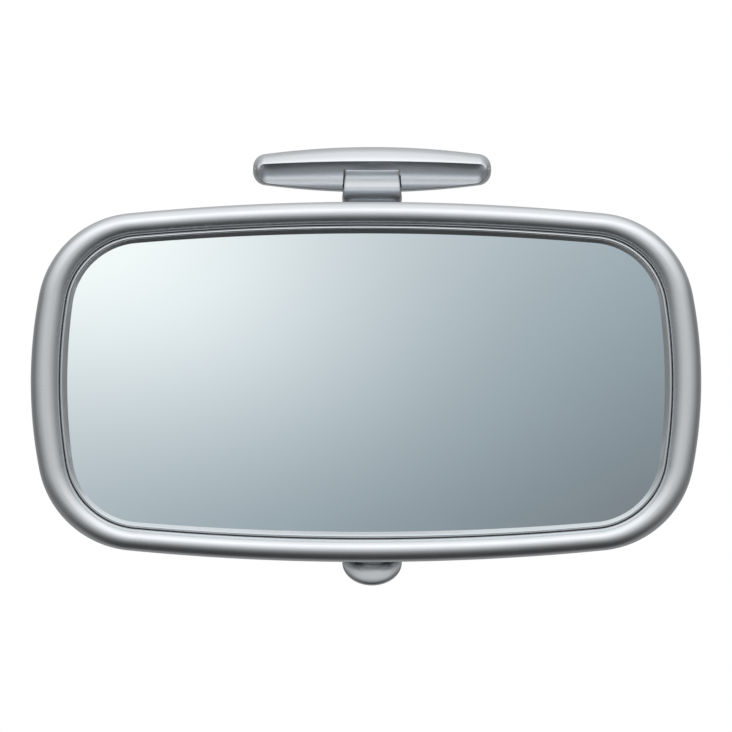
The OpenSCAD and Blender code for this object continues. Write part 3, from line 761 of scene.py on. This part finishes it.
def make_ball_stud():
    """Ball, neck with a shoulder, and a threaded shank."""
    lo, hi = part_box("ball_stud")
    centre = Vector((0, lo.y + BALL_R, (lo.z + hi.z) / 2))
    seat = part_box("arm")[0].y - centre.y
    end = hi.y - centre.y
    neck = 4 * MM
    join_angle = math.acos(neck / BALL_R)
    profile = [(0, -BALL_R)]
    for i in range(1, 33):
        a = -math.pi / 2 + (join_angle + math.pi / 2) * i / 32
        profile.append((BALL_R * math.cos(a), BALL_R * math.sin(a)))
    profile += [(neck, seat - 1.2 * MM), (neck + 0.6 * MM, seat - 0.6 * MM), (neck + 0.6 * MM, seat)]
    core, crest, pitch = 2.45 * MM, 3.0 * MM, 1.0 * MM
    profile.append((crest, seat))
    thread_start = seat + 8 * MM
    profile.append((crest, thread_start))
    at = thread_start
    while at + pitch < end - 0.6 * MM:
        profile += [(core, at + pitch * 0.45), (core, at + pitch * 0.55), (crest, at + pitch * 0.95),
                    (crest, at + pitch)]
        at += pitch
    profile += [(core, end), (0, end)]
    return lathe("threaded_ball_stud", profile, centre, steps=80, smooth=28)


def make_stud_nut():
    """Hexagon nut with chamfered faces."""
    mid, half = middle("stud_nut")
    flat = 5.0 * MM
    thick = half.y
    steps = 96
    rings = []
    for along, cone in ((-1, 4.75), (-0.82, 5.45), (-0.6, 5.9), (0.6, 5.9), (0.82, 5.45), (1, 4.75)):
        ring = []
        for i in range(steps):
            a = 2 * math.pi * i / steps
            hexagon = flat / math.cos((a + math.pi / 6) % (math.pi / 3) - math.pi / 6)
            r = min(hexagon, cone * MM)
            ring.append(Vector((mid.x + r * math.cos(a), mid.y + along * thick, mid.z + r * math.sin(a))))
        rings.append(ring)
    bore = 3.02 * MM
    for along in (1, -1):
        rings.append([Vector((mid.x + bore * math.cos(2 * math.pi * i / steps), mid.y + along * thick,
                              mid.z + bore * math.sin(2 * math.pi * i / steps))) for i in range(steps)])
    return loft("hex_nut", rings, closed=True, smooth=25)


# ---------------------------------------------------------------- lever

TAB_ROUND = 7.6 * MM        # height of the tab's rounded end
TAB_PEAK = 2.9 * MM         # height of the tab's thickest place above its end
# Shares of the tab's thickness lost at its sides, at its root in front, and at its end
SIDE_SAG = 0.72
FRONT_SAG = 0.6
END_SAG = 0.15
TAB_MORE = 0.35 * MM        # how far the tab reaches below the CAD model's


def make_lever_tab():
    """D-shaped finger tab, domed at the front and back like a pebble."""
    lo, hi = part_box("lever_tab")
    half_w, mid_y, half_t = (hi.x - lo.x) / 2, (lo.y + hi.y) / 2, (hi.y - lo.y) / 2
    low_z = lo.z - TAB_MORE
    peak = Vector((0, low_z + TAB_PEAK))
    steps = 48
    edge = [Vector((half_w * math.cos(a), low_z + TAB_ROUND * (1 + math.sin(a))))
            for a in [-math.pi * i / steps for i in range(steps + 1)]]
    edge += [Vector((-half_w + 2 * half_w * i / 12, hi.z)) for i in range(13)]
    shares = [math.cos(math.pi / 2 * i / 24) ** 0.6 for i in range(24)]

    def face(share, sign):
        ring = []
        for p in blend_points([peak] * len(edge), edge, share):
            reach = hi.z - peak.y if p.y > peak.y else TAB_PEAK
            lean = FRONT_SAG if sign < 0 and p.y > peak.y else END_SAG
            sag = (1 - SIDE_SAG * (p.x / half_w) ** 2) * (1 - lean * ((p.y - peak.y) / reach) ** 2)
            bulge = math.sqrt(max(0.0, 1 - share ** 8)) * sag
            ring.append(Vector((p.x, mid_y + sign * half_t * bulge, p.y)))
        return ring

    rings = [face(share, -1) for share in reversed(shares)] + [face(share, 1) for share in shares[1:]]
    return loft("finger_tab", rings, smooth=60)


# ---------------------------------------------------------------- build

rail, rail_groove = make_bezel()
add_piece(rail, "head", "satin_chrome", "bezel")
# The groove's faces get the darker chrome: painted shade
paint_groove_shade(rail, rail_groove)
add_piece(make_trim(), "head", "bright_trim", "inner_trim")
add_piece(make_glass(), "head", "mirror_glass", "mirror_glass")
add_piece(make_case(), "head", "satin_case", "rear_case")
add_piece(make_case_screws(), "head", "screw_steel", "case_screws")
add_piece(make_foot_cover(), "mount", "satin_chrome", "foot_cover")
add_piece(make_arm(), "arm", "satin_chrome", "arm")
add_piece(make_ball_stud(), "arm", "zinc_steel", "ball_stud")
add_piece(make_stud_nut(), "arm", "zinc_steel", "stud_nut")
add_piece(make_lever_tab(), "lever", "satin_chrome", "lever_tab")

slots = {entry["node"]: entry["material_slot"] for entry in frame["record"]["subparts"]}
for node_name, node in frame["nodes"].items():
    dress(node, slots[node_name])
    shade(node.data, 30)


# ---------------------------------------------------------------- studio

def ramp_of(tree, value, stops):
    ramp = tree.nodes.new("ShaderNodeValToRGB")
    ramp.color_ramp.interpolation = "EASE"
    while len(ramp.color_ramp.elements) < len(stops):
        ramp.color_ramp.elements.new(0.5)
    for element, (position, level) in zip(ramp.color_ramp.elements, stops):
        element.position = position
        element.color = (level, level, level, 1)
    tree.links.new(value, ramp.inputs["Fac"])
    return ramp.outputs["Color"]


def calculate(tree, operation, a, b=None):
    node = tree.nodes.new("ShaderNodeMath")
    node.operation = operation
    for socket, value in zip(node.inputs, (a, b)):
        if isinstance(value, (int, float)):
            socket.default_value = value
        elif value is not None:
            tree.links.new(value, socket)
    return node.outputs[0]


def mixed(tree, factor, a, b):
    node = tree.nodes.new("ShaderNodeMix")
    node.data_type = "RGBA"
    tree.links.new(factor, node.inputs["Factor"])
    for socket, value in ((node.inputs[6], a), (node.inputs[7], b)):
        if isinstance(value, tuple):
            socket.default_value = value
        else:
            tree.links.new(value, socket)
    return node.outputs[2]


def make_world():
    """Soft studio: bright above and in front, dark below and at the sides, white behind."""
    world = bpy.data.worlds.new("studio")
    bpy.context.scene.world = world
    world.use_nodes = True
    tree = world.node_tree
    tree.nodes.clear()
    where = tree.nodes.new("ShaderNodeTexCoord")
    axes = tree.nodes.new("ShaderNodeSeparateXYZ")
    tree.links.new(where.outputs["Generated"], axes.inputs[0])
    height = calculate(tree, "MULTIPLY_ADD", axes.outputs["Z"], 0.5)
    height.node.inputs[2].default_value = 0.5
    front = ramp_of(tree, height, [(0.0, 0.05), (0.1, 0.1), (0.25, 0.25), (0.5, 0.62), (0.7, 1.04),
                                   (0.85, 1.3), (0.95, 1.1), (1.0, 0.95)])
    rear = ramp_of(tree, height, [(0.0, 0.07), (0.12, 0.3), (0.5, 0.36), (0.75, 0.5), (0.9, 0.62),
                                  (1.0, 0.9)])
    facing = calculate(tree, "MULTIPLY_ADD", axes.outputs["Y"], 1.2)
    facing.node.inputs[2].default_value = 0.5
    body = mixed(tree, ramp_of(tree, facing, [(0.0, 0.0), (1.0, 1.0)]), front, rear)
    sides = ramp_of(tree, calculate(tree, "ABSOLUTE", axes.outputs["X"]),
                    [(0.0, 1.0), (0.4, 0.95), (0.72, 0.75), (0.9, 0.56), (1.0, 0.42)])
    tint = tree.nodes.new("ShaderNodeVectorMath")
    tint.operation = "MULTIPLY"
    tree.links.new(body, tint.inputs[0])
    tree.links.new(sides, tint.inputs[1])
    lit = tree.nodes.new("ShaderNodeBackground")
    tree.links.new(tint.outputs[0], lit.inputs["Color"])
    plain = tree.nodes.new("ShaderNodeBackground")
    plain.inputs["Color"].default_value = (1, 1, 1, 1)
    path = tree.nodes.new("ShaderNodeLightPath")
    choose = tree.nodes.new("ShaderNodeMixShader")
    tree.links.new(path.outputs["Is Camera Ray"], choose.inputs[0])
    tree.links.new(lit.outputs[0], choose.inputs[1])
    tree.links.new(plain.outputs[0], choose.inputs[2])
    out = tree.nodes.new("ShaderNodeOutputWorld")
    tree.links.new(choose.outputs[0], out.inputs["Surface"])


# Glow that the glass reflects: a slope down the diagonal and a soft spot, over the head in GLOW_UNITs.
# SLOPE holds the colour at the head's centre, its change along the slope and how it curves.
SLOPE_ANGLE = math.radians(-60)
SLOPE = ((0.37, 0.44, 0.48), (-0.28, -0.29, -0.28), (0.08, 0.04, 0.0))
SPOT = (0.26, 0.27, 0.26)
SPOT_AT = (-0.75, 0.35)
SPOT_TURN = math.radians(75)
SPOT_WIDTHS = (0.36, 0.6)
SLOPE_ENDS = (-0.85, 0.9)
GLOW_UNIT = 0.1
CARD_BEHIND = 0.05          # how far the card stands behind the camera
CARD_MARGIN = (0.02, 0.012)


def make_softbox():
    """Large light card behind the camera that gives the flat glass its soft diagonal gradient."""
    y = front_y - CAMERA_DISTANCE - CARD_BEHIND
    half = Vector((2 * GLASS[0] + CARD_MARGIN[0], 0, 2 * GLASS[1] + CARD_MARGIN[1]))
    bm = bmesh.new()
    bm.faces.new([bm.verts.new(Vector((ring_mid.x + sx * half.x, y, ring_mid.z + sz * half.z)))
                  for sx, sz in ((-1, -1), (1, -1), (1, 1), (-1, 1))])
    card = finish_mesh("softbox_card", bm)
    material = bpy.data.materials.new("softbox_glow")
    material.use_nodes = True
    tree = material.node_tree
    tree.nodes.clear()
    where = tree.nodes.new("ShaderNodeTexCoord")
    axes = tree.nodes.new("ShaderNodeSeparateXYZ")
    tree.links.new(where.outputs["Object"], axes.inputs[0])

    def over_head(output, aimed, centre):
        # The mirror shows a place on the card halfway between it and the camera's axis
        offset = calculate(tree, "SUBTRACT", axes.outputs[output], aimed)
        halved = calculate(tree, "MULTIPLY", offset, 0.5 / GLOW_UNIT)
        return calculate(tree, "ADD", halved, (aimed - centre) / GLOW_UNIT)

    x = over_head("X", aim.x, ring_mid.x)
    z = over_head("Z", aim.z, ring_mid.z)

    def turned(px, pz, angle):
        return calculate(tree, "ADD", calculate(tree, "MULTIPLY", px, math.cos(angle)),
                         calculate(tree, "MULTIPLY", pz, math.sin(angle)))

    s = turned(x, z, SLOPE_ANGLE)
    s = calculate(tree, "MINIMUM", calculate(tree, "MAXIMUM", s, SLOPE_ENDS[0]), SLOPE_ENDS[1])
    dx = calculate(tree, "SUBTRACT", x, SPOT_AT[0])
    dz = calculate(tree, "SUBTRACT", z, SPOT_AT[1])
    u = calculate(tree, "DIVIDE", turned(dx, dz, SPOT_TURN), SPOT_WIDTHS[0])
    v = calculate(tree, "DIVIDE", turned(dx, dz, SPOT_TURN + math.pi / 2), SPOT_WIDTHS[1])
    r2 = calculate(tree, "ADD", calculate(tree, "MULTIPLY", u, u), calculate(tree, "MULTIPLY", v, v))
    glow = calculate(tree, "EXPONENT", calculate(tree, "MULTIPLY", r2, -0.5))
    s2 = calculate(tree, "MULTIPLY", s, s)
    channels = tree.nodes.new("ShaderNodeCombineColor")
    for i in range(3):
        level = calculate(tree, "ADD", calculate(tree, "MULTIPLY", s, SLOPE[1][i]), SLOPE[0][i])
        level = calculate(tree, "ADD", level, calculate(tree, "MULTIPLY", s2, SLOPE[2][i]))
        level = calculate(tree, "ADD", level, calculate(tree, "MULTIPLY", glow, SPOT[i]))
        tree.links.new(calculate(tree, "DIVIDE", level, SILVERED[i]), channels.inputs[i])
    emit = tree.nodes.new("ShaderNodeEmission")
    tree.links.new(channels.outputs[0], emit.inputs["Color"])
    out = tree.nodes.new("ShaderNodeOutputMaterial")
    tree.links.new(emit.outputs[0], out.inputs["Surface"])
    card.data.materials.append(material)
    card.visible_camera = False
    card.visible_diffuse = False
    card.visible_shadow = False


def make_floor():
    """Plain pale floor, well below the mirror, lit from above."""
    z = cad_box[0][2] - FLOOR_DROP
    bm = bmesh.new()
    bm.faces.new([bm.verts.new(Vector((sx * FLOOR_HALF, sy * FLOOR_HALF, z)))
                  for sx, sy in ((-1, -1), (1, -1), (1, 1), (-1, 1))])
    floor = finish_mesh("studio_floor", bm)
    material, tree, shader = start_material("pale_floor", 0.0, 0.8, (0.9, 0.9, 0.9))
    tree.links.new(shades(tree, noise(tree, 3, 2), (0.88, 0.88, 0.885), (0.91, 0.91, 0.91)),
                   shader.inputs["Base Color"])
    floor.data.materials.append(material)
    floor.visible_glossy = False


def add_lamp(name, location, power, size):
    lamp = bpy.data.lights.new(name, "AREA")
    lamp.energy = power
    lamp.size = size
    holder = bpy.data.objects.new(name, lamp)
    holder.location = location
    holder.rotation_euler = (Vector((0, 0, -0.1)) - Vector(location)).to_track_quat("-Z", "Y").to_euler()
    holder.visible_glossy = False
    bpy.context.scene.collection.objects.link(holder)


def make_camera():
    camera = bpy.data.cameras.new("camera")
    camera.sensor_width = SENSOR
    width = (cad_box[1][0] - cad_box[0][0]) * VIEW_SHARE
    camera.lens = SENSOR * CAMERA_DISTANCE / width
    camera.clip_end = 100
    holder = bpy.data.objects.new("camera", camera)
    holder.location = (aim.x, front_y - CAMERA_DISTANCE, aim.z)
    holder.rotation_euler = (math.pi / 2, 0, 0)
    bpy.context.scene.collection.objects.link(holder)
    bpy.context.scene.camera = holder


aim = Vector(((cad_box[0][0] + cad_box[1][0]) / 2, 0, (cad_box[0][2] + cad_box[1][2]) / 2 - 0.2 * MM))
make_world()
make_softbox()
make_floor()
add_lamp("key_light", (-1.2, -1.6, 2.2), 60, 1.6)
add_lamp("fill_light", (1.6, 1.2, 1.8), 30, 1.6)
make_camera()
bpy.context.scene.view_settings.view_transform = "Standard"
